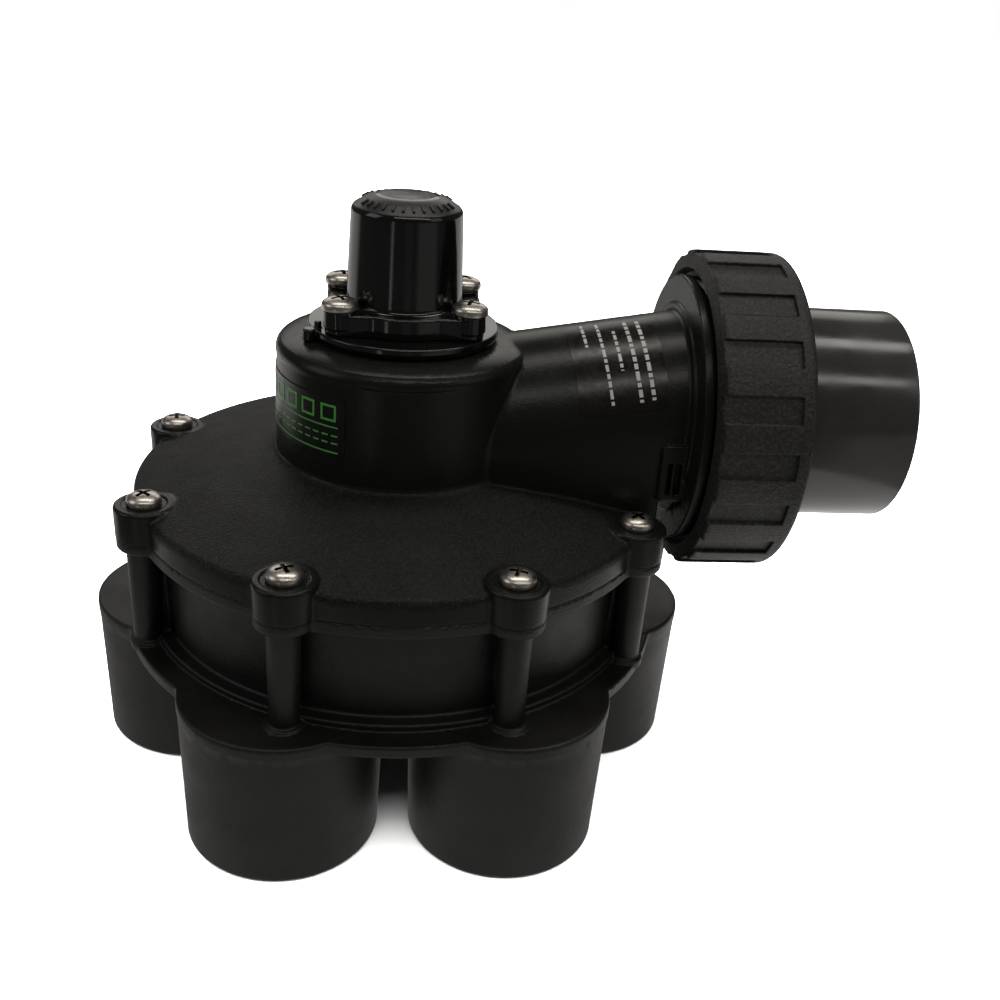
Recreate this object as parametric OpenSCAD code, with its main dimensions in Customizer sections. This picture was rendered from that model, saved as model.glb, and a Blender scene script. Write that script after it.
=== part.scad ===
// Six-outlet indexing distribution valve, 1.5 in union inlet, 1.25 in outlets.
// Origin on the body axis in the plane of the outlet mouths, +Z up, inlet along +X.

/* [Outlets] */
// number of outlet tubes
outlet_count = 6; // [4:1:6]
// radius of the circle the outlets stand on
outlet_circle_r = 60.5; // [58:0.1:64]
// outside radius of an outlet at its mouth
outlet_mouth_r = 25.9; // [24:0.02:28]
// outside radius of an outlet at the top of the base plate
outlet_root_r = 27.15; // [25:0.1:29]
// socket radius for 1.25 in pipe
outlet_socket_r = 21.15; // [20:0.05:22]
// socket depth
outlet_socket_h = 31; // [20:0.5:34]
// radius of the port through the chamber floor
port_r = 12; // [8:0.1:13]
// radius of the circle the ports stand on
port_circle_r = 50.5; // [48:0.1:52]

/* [Lower body] */
// top face of the base plate
plate_top_z = 42.7; // [40:0.1:46]
// thickness of the base plate
plate_h = 3.5; // [2:0.1:6]
// radius of the base plate between two outlets
plate_r = 78.2; // [76:0.1:80]
// chamber floor height
floor_z = 44; // [43:0.1:45]
// height of the seat lands round the ports
seat_z = 45; // [44:0.1:46]
// inside radius of the chamber
chamber_r = 66; // [60:0.1:67]
// outside radius of the wall at its foot
wall_foot_r = 68.1; // [68:0.1:72]
// outside radius of the wall under the rim band
wall_top_r = 69; // [69:0.1:73]
// outside radius of the rim band
rim_r = 74.4; // [73:0.1:76]
// lower edge of the rim band
rim_low_z = 71.4; // [70:0.1:73]
// seam between the lower body and the lid
seam_z = 75; // [74:0.1:76]

/* [Lid] */
// lid edge height at its rim
lid_edge_z = 82.1; // [80:0.1:84]
// lid height where it meets the collar
lid_crown_z = 91.3; // [88:0.1:94]
// lid shell thickness
lid_wall = 4; // [3:0.1:6]
// collar radius at its foot
collar_foot_r = 35.1; // [33:0.1:37]
// collar radius at its top
collar_top_r = 34.9; // [33:0.1:37]
// height where the collar's top band starts
collar_band_z = 120.6; // [116:0.1:122]
// top face of the collar
collar_top_z = 124.2; // [120:0.1:126]
// collar cavity radius
collar_cavity_r = 30; // [26:0.1:31]

/* [Inlet neck] */
// height of the inlet axis at the union
inlet_z = 105.4; // [100:0.1:110]
// outside radius of the neck
neck_r = 26.7; // [24:0.1:28]
// rise of the neck from the collar to the union, degrees
neck_tilt = 10; // [0:0.5:15]
// end of the neck's skirt
skirt_end_x = 71.4; // [68:0.1:73]
// start of the male union thread
thread_start_x = 80.5; // [78:0.1:84]
// face of the neck inside the union
neck_end_x = 96; // [94:0.1:98]
// male thread outside radius
thread_r = 37; // [35:0.1:38]
// waterway radius
bore_r = 20; // [18:0.1:21]

/* [Union] */
// open end of the nut
nut_x0 = 80.2; // [79:0.1:84]
// right face of the nut
nut_x1 = 105.8; // [104:0.1:108]
// nut outside radius
nut_r = 45.2; // [43:0.1:47]
// number of grip pockets
nut_pockets = 19; // [12:1:20]
// depth of a grip pocket
pocket_depth = 1.1; // [0.5:0.1:2]
// tailpiece outside radius, 2 in nominal
tail_r = 30.15; // [30:0.05:31]
// end of the tailpiece
tail_end_x = 140.4; // [136:0.1:144]
// tailpiece socket radius for 1.5 in pipe
tail_socket_r = 24.15; // [24:0.05:24.3]
// tailpiece socket depth
tail_socket_h = 32; // [28:0.5:34]

/* [Screws] */
// lid screw circle radius
lid_screw_r = 73.1; // [72:0.1:75]
// half angle of the screw pair beside the neck
neck_pair_angle = 29; // [22.5:0.5:32]
// radius of a screw head
screw_head_r = 4.8; // [4:0.05:5]
// radius of a screw shank
screw_shank_r = 2.4; // [2:0.05:2.5]
// half spacing of the cover screws across the inlet direction
cover_screw_x = 17.1; // [16:0.1:18]
// half spacing of the cover screws the other way
cover_screw_y = 13.2; // [13:0.1:18]

/* [Cam cover] */
// cover radius at its foot
cover_foot_r = 15.9; // [15:0.1:17]
// cover radius at the top bevel
cover_top_r = 14.9; // [14:0.1:16]
// top face radius
cover_flat_r = 9.6; // [8:0.1:12]
// underside of the cover flange
cover_z0 = 128.2; // [127:0.1:129]
// top of the cover flange
cover_flange_z = 134; // [132:0.1:135]
// start of the top bevel
cover_bevel_z = 159.4; // [156:0.1:160]
// top of the cover
cover_top_z = 162.6; // [158:0.1:164]
// cover cavity radius
cover_cavity_r = 12.2; // [12:0.1:12.6]

/* [Rotor] */
// lift of the rotor between flow and rest
stroke = 10; // [8:0.5:10]
// stem radius
stem_r = 5; // [4:0.1:6]
// disc radius
disc_r = 64.4; // [62:0.1:65]
// resting direction of the disc's open port
open_port_angle = 30; // [0:30:330]
// cam radius
cam_r = 11.5; // [11:0.1:11.8]
// cam height
cam_h = 18.4; // [16:0.1:19]
// track pin radius
pin_r = 1.5; // [1.2:0.1:1.8]

/* [Hidden] */
$fn = 96;
eps = 0.05;
disc_z0 = 58.2;
disc_z1 = 63.2;
seal_z0 = seat_z + stroke + 0.2;
cam_z0 = 134.6;
pin_z = cam_z0 + 4.2;
cup_r = 16;
lid_head_z = 83.95;
cover_head_z = cover_flange_z + 0.75;
cup_bore_r = 12.5;
cup_floor_z = 14;
guide_z0 = 9;
post_out = 1.1;
lug_angles = [neck_pair_angle, 67.5, 112.5, 157.5, 202.5, 247.5, 292.5, 360 - neck_pair_angle];
neck_mid_z = inlet_z - tan(neck_tilt) * (72 - 36);

// a ring of copies at the lid screw positions
module at_lugs() {
    for (a = lug_angles)
        rotate([0, 0, a])
            translate([lid_screw_r, 0, 0])
                children();
}

// a ring of copies at the outlets
module at_outlets(radius) {
    for (k = [0 : outlet_count - 1])
        rotate([0, 0, k * 360 / outlet_count])
            translate([radius, 0, 0])
                children();
}

// the four cover screw positions
module at_cover_screws() {
    for (sx = [-1, 1], sy = [-1, 1])
        translate([sx * cover_screw_x, sy * cover_screw_y, 0])
            children();
}

// an axial ring along +X at the inlet axis
module x_tube(x0, x1, ra, rb) {
    translate([x0, 0, inlet_z])
        rotate([0, 90, 0])
            cylinder(h = x1 - x0, r1 = ra, r2 = rb);
}

// pan head screw, seat of the head at z = 0, shank pointing down
module pan_screw(head_r, head_h, shank_r, shank_l) {
    dome_r = (head_r * head_r + head_h * head_h) / (2 * head_h) * 1.12;
    difference() {
        union() {
            intersection() {
                cylinder(h = head_h, r = head_r);
                translate([0, 0, head_h - dome_r])
                    sphere(r = dome_r, $fn = 64);
            }
            translate([0, 0, -shank_l])
                cylinder(h = shank_l + eps, r = shank_r);
        }
        for (a = [0, 90])
            rotate([0, 0, a])
                translate([-head_r * 0.55, -0.55, head_h * 0.35])
                    cube([head_r * 1.1, 1.1, head_h]);
    }
}

module o_ring(major, minor) {
    rotate_extrude()
        translate([major, 0])
            circle(r = minor, $fn = 32);
}

module post() {
    translate([post_out, 0, plate_top_z - eps])
        cylinder(h = rim_low_z - plate_top_z + 1, r1 = 3.75, r2 = 4.2);
    translate([post_out, 0, plate_top_z - eps])
        cylinder(h = 1.2, r1 = 5, r2 = 4.1);
    translate([-7, -1.3, plate_top_z - eps])
        cube([7, 2.6, rim_low_z - plate_top_z + 1]);
    translate([0, 0, rim_low_z - 0.4])
        cylinder(h = 0.8, r1 = 7, r2 = 7.8);
    translate([0, 0, rim_low_z + 0.4 - eps])
        cylinder(h = seam_z - rim_low_z + 1, r = 7.8);
}

module lower_body() {
    color([0.05, 0.05, 0.05])
    difference() {
        union() {
            at_outlets(outlet_circle_r)
                cylinder(h = plate_top_z, r1 = outlet_mouth_r, r2 = outlet_root_r);
            translate([0, 0, plate_top_z - plate_h])
                cylinder(h = plate_h, r = plate_r);
            translate([0, 0, plate_top_z - eps])
                cylinder(h = 2 + eps, r1 = 72.2, r2 = 71.9);
            translate([0, 0, plate_top_z])
                cylinder(h = rim_low_z - plate_top_z + 0.5, r1 = wall_foot_r, r2 = wall_top_r);
            translate([0, 0, rim_low_z])
                cylinder(h = seam_z - rim_low_z + 1, r = rim_r);
            at_lugs()
                post();
            cylinder(h = plate_top_z, r = cup_r);
            at_outlets(15)
                translate([0, -1.5, 18])
                    cube([22, 3, plate_top_z - plate_h - 17.9]);
        }
        translate([0, 0, seam_z])
            cylinder(h = 20, r = 100);
        translate([0, 0, floor_z])
            cylinder(h = 60, r = chamber_r);
        at_outlets(outlet_circle_r) {
            translate([0, 0, -1])
                cylinder(h = outlet_socket_h + 1, r = outlet_socket_r);
            translate([0, 0, -eps])
                cylinder(h = 1.05, r1 = outlet_socket_r + 1.05, r2 = outlet_socket_r);
        }
        at_outlets(port_circle_r)
            translate([0, 0, outlet_socket_h - 1])
                cylinder(h = 20, r = port_r);
        translate([0, 0, cup_floor_z])
            cylinder(h = 60, r = cup_bore_r);
        translate([0, 0, guide_z0])
            cylinder(h = 10, r = stem_r + 0.06);
        at_lugs()
            translate([0, 0, 52])
                cylinder(h = 40, r = screw_shank_r + 0.08);
        translate([0, 0, seam_z - 2.4])
            difference() {
                cylinder(h = 4, r = 70.9);
                translate([0, 0, -1])
                    cylinder(h = 6, r = 68.1);
            }
    }
    color([0.05, 0.05, 0.05])
    difference() {
        at_outlets(port_circle_r)
            translate([0, 0, floor_z - 1])
                cylinder(h = seat_z - floor_z + 1, r = port_r + 2.4);
        at_outlets(port_circle_r)
            translate([0, 0, floor_z - 2])
                cylinder(h = 6, r = port_r);
        translate([0, 0, floor_z - 2])
            difference() {
                cylinder(h = 6, r = 80);
                translate([0, 0, -1])
                    cylinder(h = 8, r = chamber_r + 0.5);
            }
    }
    color([0.05, 0.05, 0.05])
    difference() {
        translate([0, 0, cup_floor_z - 1])
            cylinder(h = 17, r = 7);
        translate([0, 0, guide_z0])
            cylinder(h = 30, r = stem_r + 0.06);
    }
}

module neck_solid() {
    intersection() {
        union() {
            translate([36, 0, neck_mid_z])
                rotate([0, 90 - neck_tilt, 0])
                    translate([0, 0, -40])
                        cylinder(h = 90, r = neck_r);
            rotate([90, 0, 0])
                translate([0, 0, -neck_r])
                    linear_extrude(height = 2 * neck_r)
                        polygon([[8, 80], [skirt_end_x, 80],
                                 [skirt_end_x, inlet_z - tan(neck_tilt) * (72 - skirt_end_x)],
                                 [8, inlet_z - tan(neck_tilt) * 64]]);
        }
        translate([8, -60, seam_z])
            cube([64, 120, 80]);
    }
    x_tube(70, 78, neck_r + 0.5, neck_r + 0.5);
    x_tube(77.8, 78.6, thread_r + 0.3, thread_r + 1.1);
    x_tube(78.6 - eps, thread_start_x, thread_r + 1.1, thread_r + 1.1);
    x_tube(thread_start_x - eps, neck_end_x, thread_r, thread_r);
}

module lid() {
    color([0.06, 0.06, 0.06])
    difference() {
        union() {
            rotate_extrude($fn = 128)
                polygon([[0, seam_z], [rim_r - 0.2, seam_z], [rim_r, seam_z + 0.3],
                         [rim_r, lid_edge_z - 0.9], [rim_r - 1.4, lid_edge_z + 0.25],
                         [55, 87.1], [collar_foot_r, lid_crown_z],
                         [collar_top_r, collar_band_z],
                         [collar_top_r - 0.2, collar_band_z + 1.1],
                         [collar_top_r - 0.7, collar_band_z + 2.2],
                         [collar_top_r - 1.5, collar_top_z - 0.5],
                         [collar_top_r - 2.6, collar_top_z],
                         [27.5, collar_top_z + 0.7], [0, collar_top_z + 0.7]]);
            neck_solid();
            at_lugs() {
                translate([0, 0, seam_z])
                    cylinder(h = 8.4, r1 = 7.9, r2 = 8.1);
                translate([0, 0, seam_z + 8.4])
                    cylinder(h = 0.8, r1 = 8.1, r2 = 7.4);
            }
            translate([0, 0, 71])
                cylinder(h = 5, r = chamber_r - 0.3);
        }
        rotate_extrude($fn = 128)
            polygon([[0, 70], [62, 70], [62, 77.6], [54, 82.9], [31, 87],
                     [collar_cavity_r, 88], [collar_cavity_r, 119.4], [0, 119.4]]);
        translate([36, 0, neck_mid_z])
            rotate([0, 90 - neck_tilt, 0])
                translate([0, 0, -30])
                    cylinder(h = 67, r = bore_r);
        x_tube(68, neck_end_x + 1, bore_r, bore_r);
        x_tube(neck_end_x - 3.3, neck_end_x + 1, 27.6, 27.6);
        at_lugs() {
            translate([0, 0, 70])
                cylinder(h = 30, r = screw_shank_r + 0.2);
            translate([0, 0, lid_head_z - 0.05])
                cylinder(h = 3, r = 5.9);
        }
        at_cover_screws()
            translate([0, 0, 116])
                cylinder(h = 20, r = screw_shank_r + 0.08);
        translate([0, 0, 118])
            cylinder(h = 20, r = 9.05);
        translate([0, 0, 120.4])
            cylinder(h = 20, r = 12.6);
    }
    color([0.06, 0.06, 0.06])
    x_ring(neck_end_x - 3.4, neck_end_x, bore_r, 23.6);
    color([0.06, 0.06, 0.06])
    difference() {
        union() {
            translate([0, 0, 103])
                cylinder(h = 16.6, r = 13);
            at_cover_screws()
                translate([0, 0, 112])
                    cylinder(h = 7.6, r = 5);
        }
        translate([0, 0, 102])
            cylinder(h = 30, r = 9.05);
        at_cover_screws()
            translate([0, 0, 116])
                cylinder(h = 20, r = screw_shank_r + 0.08);
    }
}

// a plain ring along the inlet axis
module x_ring(x0, x1, ri, ro) {
    difference() {
        x_tube(x0, x1, ro, ro);
        x_tube(x0 - 1, x1 + 1, ri, ri);
    }
}

module body_o_ring() {
    color([0.02, 0.02, 0.02])
    translate([0, 0, seam_z - 1.15])
        o_ring(69.5, 1.1);
}

module lid_screws() {
    color([0.75, 0.74, 0.72])
    at_lugs()
        translate([0, 0, lid_head_z])
            pan_screw(screw_head_r, 3.3, screw_shank_r, 26);
}

module cover_seat_ring() {
    color([0.03, 0.03, 0.03])
    difference() {
        union() {
            translate([0, 0, collar_top_z + 0.75])
                cylinder(h = cover_z0 - collar_top_z - 0.75, r = 26.3);
            rotate([0, 0, 203])
                translate([26.9, 0, collar_top_z + 0.8])
                    cylinder(h = 3.3, r = 2);
        }
        translate([0, 0, 120])
            cylinder(h = 20, r = 13.5);
        at_cover_screws()
            translate([0, 0, 120])
                cylinder(h = 20, r = screw_shank_r + 0.2);
        translate([0, 0, cover_z0 - 1.9])
            difference() {
                cylinder(h = 4, r = 17.9);
                translate([0, 0, -1])
                    cylinder(h = 6, r = 15.3);
            }
    }
}

module cover_o_ring() {
    color([0.02, 0.02, 0.02])
    translate([0, 0, cover_z0 - 0.95])
        o_ring(16.6, 0.9);
}

module cover_flange() {
    flange_h = cover_flange_z - cover_z0;
    cylinder(h = flange_h, r = 19);
    translate([-cover_screw_x + 0.5, -18.2, 0])
        cube([2 * cover_screw_x - 1, 36.4, flange_h]);
    translate([-20.8, -14, 0])
        cube([41.6, 28, flange_h]);
    for (sx = [-1, 1], sy = [-1, 1])
        translate([sx * 16.6, sy * 14, 0])
            cylinder(h = flange_h, r = 4.2);
}

module cam_cover() {
    color([0.02, 0.02, 0.02])
    difference() {
        union() {
            translate([0, 0, cover_z0])
                cover_flange();
            at_cover_screws()
                translate([0, 0, cover_flange_z - eps])
                    cylinder(h = 0.7 + eps, r = 4.4);
            rotate_extrude()
                polygon([[0, cover_z0], [cover_foot_r, cover_z0], [cover_foot_r, cover_flange_z],
                         [cover_top_r, cover_bevel_z - 0.4], [cover_top_r - 0.3, cover_bevel_z],
                         [cover_flat_r, cover_top_z - 0.3], [cover_flat_r - 0.6, cover_top_z],
                         [0, cover_top_z]]);
        }
        translate([0, 0, cover_z0 - 1])
            cylinder(h = 158 - cover_z0 + 1, r = cover_cavity_r);
        at_cover_screws()
            translate([0, 0, cover_z0 - 1])
                cylinder(h = 20, r = screw_shank_r + 0.2);
        for (a = [90, 270])
            rotate([0, 0, a])
                translate([11, 0, pin_z])
                    rotate([0, 90, 0])
                        cylinder(h = 3.6, r = pin_r + 0.03);
    }
}

module cam_cover_screws() {
    color([0.75, 0.74, 0.72])
    at_cover_screws()
        translate([0, 0, cover_head_z])
            pan_screw(screw_head_r, 3.2, screw_shank_r, 17.6);
}

module cam_track_pins() {
    color([0.7, 0.7, 0.7])
    for (a = [90, 270])
        rotate([0, 0, a])
            translate([9.6, 0, pin_z])
                rotate([0, 90, 0])
                    cylinder(h = 4.9, r = pin_r);
}

// one slanted run of the cam track, low end at angle a, high end at angle a + da
module track_run(a, da) {
    rise = stroke;
    span = cam_r * da * PI / 180;
    for (e = [[a, 0], [a + da, rise]])
        rotate([0, 0, e[0]])
            translate([8.9, 0, pin_z + e[1]])
                rotate([0, 90, 0])
                    cylinder(h = 6, r = 2.2);
    rotate([0, 0, a + da / 2])
        translate([8.9, 0, pin_z + rise / 2])
            rotate([atan(-span / rise), 0, 0])
                translate([0, -2.2, -norm([rise, span]) / 2])
                    cube([6, 4.4, norm([rise, span])]);
}

module cam() {
    color([0.85, 0.84, 0.8])
    difference() {
        union() {
            translate([0, 0, cam_z0])
                cylinder(h = cam_h, r = cam_r);
            translate([0, 0, cam_z0 - 2.5])
                cylinder(h = cam_h + 5, r = 6);
        }
        translate([0, 0, cam_z0 - 5])
            cylinder(h = cam_h + 12, r = 4.05);
        for (k = [0 : 5]) {
            track_run(90 + 60 * k, 30);
            track_run(90 + 60 * k, -30);
        }
    }
}

module cam_upper_o_ring() {
    color([0.02, 0.02, 0.02])
    translate([0, 0, cam_z0 + cam_h + 1.2])
        o_ring(7.3, 1.1);
}

module cam_lower_o_ring() {
    color([0.02, 0.02, 0.02])
    translate([0, 0, cam_z0 - 1.2])
        o_ring(7.3, 1.1);
}

module cam_screw() {
    color([0.75, 0.74, 0.72])
    translate([0, 0, cam_z0 + cam_h + 2.6])
        pan_screw(4.6, 2, 1.6, 11);
}

module stem() {
    color([0.7, 0.7, 0.7])
    difference() {
        union() {
            translate([0, 0, 22])
                cylinder(h = cam_z0 - 2.6 - 22, r = stem_r);
            translate([0, 0, 100])
                cylinder(h = cam_z0 + cam_h + 2.4 - 100, r = 4);
            translate([0, 0, 52.5])
                cylinder(h = 2.5, r = 7.5);
        }
        translate([0, 0, 142])
            cylinder(h = 20, r = 1.65);
    }
}

module stem_bushing() {
    color([0.8, 0.78, 0.7])
    difference() {
        translate([0, 0, 104])
            cylinder(h = 16.2, r = 9);
        translate([0, 0, 100])
            cylinder(h = 30, r = stem_r + 0.08);
    }
}

module rotor_disc() {
    color([0.1, 0.1, 0.1])
    difference() {
        union() {
            translate([0, 0, disc_z0])
                cylinder(h = disc_z1 - disc_z0, r = disc_r);
            translate([0, 0, 55.1])
                cylinder(h = 12, r = 10);
            for (k = [0 : 4])
                rotate([0, 0, open_port_angle + 60 + k * 60])
                    translate([8, -1.5, disc_z1 - 1])
                        cube([50, 3, 4]);
        }
        translate([0, 0, 40])
            cylinder(h = 40, r = stem_r + 0.06);
        rotate([0, 0, open_port_angle])
            translate([port_circle_r, 0, 40])
                cylinder(h = 40, r = port_r + 0.5);
    }
}

module disc_seal() {
    color([0.02, 0.02, 0.02])
    difference() {
        translate([0, 0, seal_z0])
            cylinder(h = disc_z0 - seal_z0, r = disc_r - 0.4);
        translate([0, 0, 40])
            cylinder(h = 40, r = 14);
        rotate([0, 0, open_port_angle])
            translate([port_circle_r, 0, 40])
                cylinder(h = 40, r = port_r + 0.5);
    }
}

module disc_clamp_washer() {
    color([0.75, 0.74, 0.72])
    difference() {
        translate([0, 0, 67.15])
            cylinder(h = 1.2, r = 9);
        translate([0, 0, 60])
            cylinder(h = 20, r = stem_r + 0.08);
    }
}

module disc_clamp_nut() {
    color([0.75, 0.74, 0.72])
    difference() {
        translate([0, 0, 68.4])
            cylinder(h = 5, r = 8.6, $fn = 6);
        translate([0, 0, 60])
            cylinder(h = 20, r = stem_r + 0.06);
    }
}

module thrust_washer() {
    color([0.8, 0.78, 0.7])
    difference() {
        translate([0, 0, 50.9])
            cylinder(h = 1.5, r = 11);
        translate([0, 0, 45])
            cylinder(h = 20, r = stem_r + 0.4);
    }
}

// plan section of a coiled wire whose centre line climbs one pitch per turn
module coil_section(coil_r, wire_r, pitch) {
    lead = atan(pitch / (2 * PI * coil_r));
    half_arc = wire_r / sin(lead) / coil_r * 180 / PI;
    n = 5;
    outer = [for (i = [-n : n])
             let (t = sin(i * 90 / n), w = wire_r * cos(i * 90 / n))
             [(coil_r + w) * cos(half_arc * t), (coil_r + w) * sin(half_arc * t)]];
    inner = [for (i = [n - 1 : -1 : -n + 1])
             let (t = sin(i * 90 / n), w = wire_r * cos(i * 90 / n))
             [(coil_r - w) * cos(half_arc * t), (coil_r - w) * sin(half_arc * t)]];
    polygon(concat(outer, inner));
}

module return_spring() {
    turns = 5;
    z0 = cup_floor_z + 0.1;
    z1 = 50.8;
    color([0.75, 0.74, 0.72])
    translate([0, 0, z0])
        linear_extrude(height = z1 - z0, twist = -360 * turns, slices = 18 * turns, $fn = 8)
            coil_section(9.6, 1, (z1 - z0) / turns);
}

module union_nut() {
    color([0.07, 0.07, 0.07])
    difference() {
        union() {
            x_tube(nut_x0, nut_x0 + 1.3, nut_r - 4, nut_r - 1.7);
            x_tube(nut_x0 + 1.3 - eps, nut_x0 + 2.8, nut_r - 1.7, nut_r);
            x_tube(nut_x0 + 2.8 - eps, nut_x1 - 2.2, nut_r, nut_r);
            x_tube(nut_x1 - 2.2 - eps, nut_x1 - 0.9, nut_r, nut_r - 1);
            x_tube(nut_x1 - 0.9 - eps, nut_x1, nut_r - 1, nut_r - 2.8);
        }
        x_tube(nut_x0 - 1, 100.4, thread_r + 0.5, thread_r + 0.5);
        x_tube(nut_x0 - eps, nut_x0 + 2.3, thread_r + 3.1, thread_r + 2);
        x_tube(100, nut_x1 + 1, tail_r + 0.4, tail_r + 0.4);
        translate([0, 0, inlet_z])
            for (k = [0 : nut_pockets - 1])
                rotate([70 + k * 360 / nut_pockets, 0, 0])
                    translate([nut_x0 - 1, -3.6, nut_r - pocket_depth])
                        cube([nut_x1 - 4 - nut_x0 + 1, 7.2, 5]);
    }
}

module union_tailpiece() {
    color([0.05, 0.05, 0.05])
    difference() {
        union() {
            x_tube(96.1, 100.1, 36.2, 36.2);
            x_tube(99, 107, tail_r - 0.75, tail_r - 0.75);
            x_tube(106.6, tail_end_x - 0.6, tail_r, tail_r);
            x_tube(tail_end_x - 0.6, tail_end_x, tail_r, tail_r - 0.6);
        }
        x_tube(90, 150, 20.4, 20.4);
        x_tube(tail_end_x - tail_socket_h, 150, tail_socket_r, tail_socket_r);
        x_tube(tail_end_x - 1, tail_end_x + eps, tail_socket_r, tail_socket_r + 1);
    }
}

module union_o_ring() {
    color([0.02, 0.02, 0.02])
    translate([neck_end_x - 1.65, 0, inlet_z])
        rotate([0, 90, 0])
            o_ring(25.6, 1.5);
}

module collar_label() {
    color([0.1, 0.12, 0.1])
    intersection() {
        rotate_extrude()
            polygon([[collar_foot_r - 0.083 + 0.05, 96], [collar_foot_r - 0.083 + 0.3, 96],
                     [collar_top_r + 0.05 + 0.3, 117], [collar_top_r + 0.05 + 0.05, 117]]);
        rotate([0, 0, 202])
            translate([20, -23.7, 99.4])
                cube([20, 47.4, 16.4]);
    }
}

module neck_label() {
    color([0.12, 0.09, 0.07])
    difference() {
        intersection() {
            translate([36, 0, neck_mid_z])
                rotate([0, 90 - neck_tilt, 0])
                    difference() {
                        translate([0, 0, 14])
                            cylinder(h = 23, r = neck_r + 0.3);
                        cylinder(h = 60, r = neck_r + 0.05);
                    }
            translate([36, 0, neck_mid_z])
                rotate([0, -neck_tilt, 0])
                    translate([0, -60, neck_r * cos(69)])
                        cube([60, 60, 40]);
        }
        x_tube(69.9, 90, neck_r + 1, neck_r + 1);
    }
}

lower_body();
lid();
body_o_ring();
lid_screws();
cover_seat_ring();
cover_o_ring();
cam_cover();
cam_cover_screws();
cam_track_pins();
cam();
cam_upper_o_ring();
cam_lower_o_ring();
cam_screw();
stem();
stem_bushing();
rotor_disc();
disc_seal();
disc_clamp_washer();
disc_clamp_nut();
thrust_washer();
return_spring();
union_nut();
union_tailpiece();
union_o_ring();
collar_label();
neck_label();
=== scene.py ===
"""Looks of a six-outlet indexing valve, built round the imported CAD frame.

Moulded pieces are signed distance fields in millimetres, turned into meshes with OpenVDB.
Turned pieces are lathed profiles. Everything is placed in the row frame, in metres.
"""
import math

import bmesh
import bpy
import numpy as np
import openvdb as vdb
from mathutils import Matrix, Vector


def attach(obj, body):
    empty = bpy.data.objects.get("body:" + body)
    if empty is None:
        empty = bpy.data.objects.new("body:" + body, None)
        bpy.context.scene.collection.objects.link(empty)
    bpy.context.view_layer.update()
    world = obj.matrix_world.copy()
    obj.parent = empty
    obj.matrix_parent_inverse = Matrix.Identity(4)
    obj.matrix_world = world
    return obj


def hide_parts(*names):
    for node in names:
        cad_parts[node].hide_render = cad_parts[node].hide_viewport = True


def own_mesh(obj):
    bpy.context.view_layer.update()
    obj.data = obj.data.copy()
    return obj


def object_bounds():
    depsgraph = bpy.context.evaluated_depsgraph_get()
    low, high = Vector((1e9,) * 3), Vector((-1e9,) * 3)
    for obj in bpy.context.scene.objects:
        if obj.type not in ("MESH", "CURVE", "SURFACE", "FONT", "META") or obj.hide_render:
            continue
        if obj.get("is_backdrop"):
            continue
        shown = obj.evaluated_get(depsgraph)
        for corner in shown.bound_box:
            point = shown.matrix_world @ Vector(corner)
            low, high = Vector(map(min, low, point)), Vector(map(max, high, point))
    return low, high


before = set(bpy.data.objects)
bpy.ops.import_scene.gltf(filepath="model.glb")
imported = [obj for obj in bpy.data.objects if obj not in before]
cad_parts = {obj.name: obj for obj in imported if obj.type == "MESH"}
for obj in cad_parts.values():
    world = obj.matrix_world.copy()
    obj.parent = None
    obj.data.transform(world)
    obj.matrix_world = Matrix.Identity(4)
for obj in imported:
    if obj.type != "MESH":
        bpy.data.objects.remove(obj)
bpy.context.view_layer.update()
MM = 0.001

# Sizes in millimetres. Z is up from the table, and X runs along the inlet.
# The valve's axis is x = y = 0.
SPLIT_Z = 75.0                    # where the lid meets the body
PLATE_LOW, PLATE_TOP = 39.2, 42.7
OUTLET_AT, OUTLET_R, OUTLET_FLARE, SOCKET_R, SOCKET_TOP = 60.5, 25.9, 1.25, 21.15, 31
WALL_R, WALL_FLARE, WALL_HEIGHT = 68.1, 0.9, 28.7
RIM_R = 74.4
LUG_R = 73.1                      # circle of the lid screws
LUG_ANGLES = (29, 67.5, 112.5, 157.5)
LUG_TOP = 84.2
POST_OUT = 1.1                    # how far the posts stand outside the screws' circle
COLLAR_R = 35.0
INLET_Z = 105.4
TILT = math.radians(10)           # of the neck
NECK_R = 26.7
NECK_MID = (36.0, INLET_Z - math.tan(TILT) * 36)
FLANGE_R, THREAD_ROOT_R, THREAD_HEIGHT, THREAD_PITCH = 38.1, 35.9, 1.1, 5.0
NUT_R, NUT_LOW, NUT_HIGH, NUT_POCKETS = 45.25, 80.2, 105.8, 19
TAIL_R, TAIL_BORE_R, TAIL_END = 30.15, 24.15, 140.4
SEAT_TOP = 128.2
CAP_FOOT_R, CAP_TOP_R, CAP_FOOT_Z, CAP_BEVEL_Z, CAP_TOP_Z = 15.9, 14.9, 134, 159.4, 162.6
COVER_SCREW_X, COVER_SCREW_Y = 17.1, 13.2
COVER_SCREWS = [(sx * COVER_SCREW_X, sy * COVER_SCREW_Y) for sx in (-1, 1) for sy in (-1, 1)]


# ---------------------------------------------------------------- distance fields
def both(a, b, r=0.3):
    """What lies in a and in b, the edge between them rounded to radius r."""
    return np.minimum(np.maximum(a, b), -r) + np.hypot(np.maximum(a + r, 0), np.maximum(b + r, 0))


def either(a, b, r=0.3):
    """What lies in a or in b, the inner corner between them filled to radius r."""
    return np.maximum(np.minimum(a, b), r) - np.hypot(np.maximum(r - a, 0), np.maximum(r - b, 0))


def cut(a, b, r=0.3):
    """What lies in a and outside b."""
    return both(a, -b, r)


def slab(v, low, high):
    return np.maximum(low - v, v - high)


def lug_centres():
    return [(LUG_R * math.cos(math.radians(a)), LUG_R * math.sin(math.radians(a))) for a in LUG_ANGLES]


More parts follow.
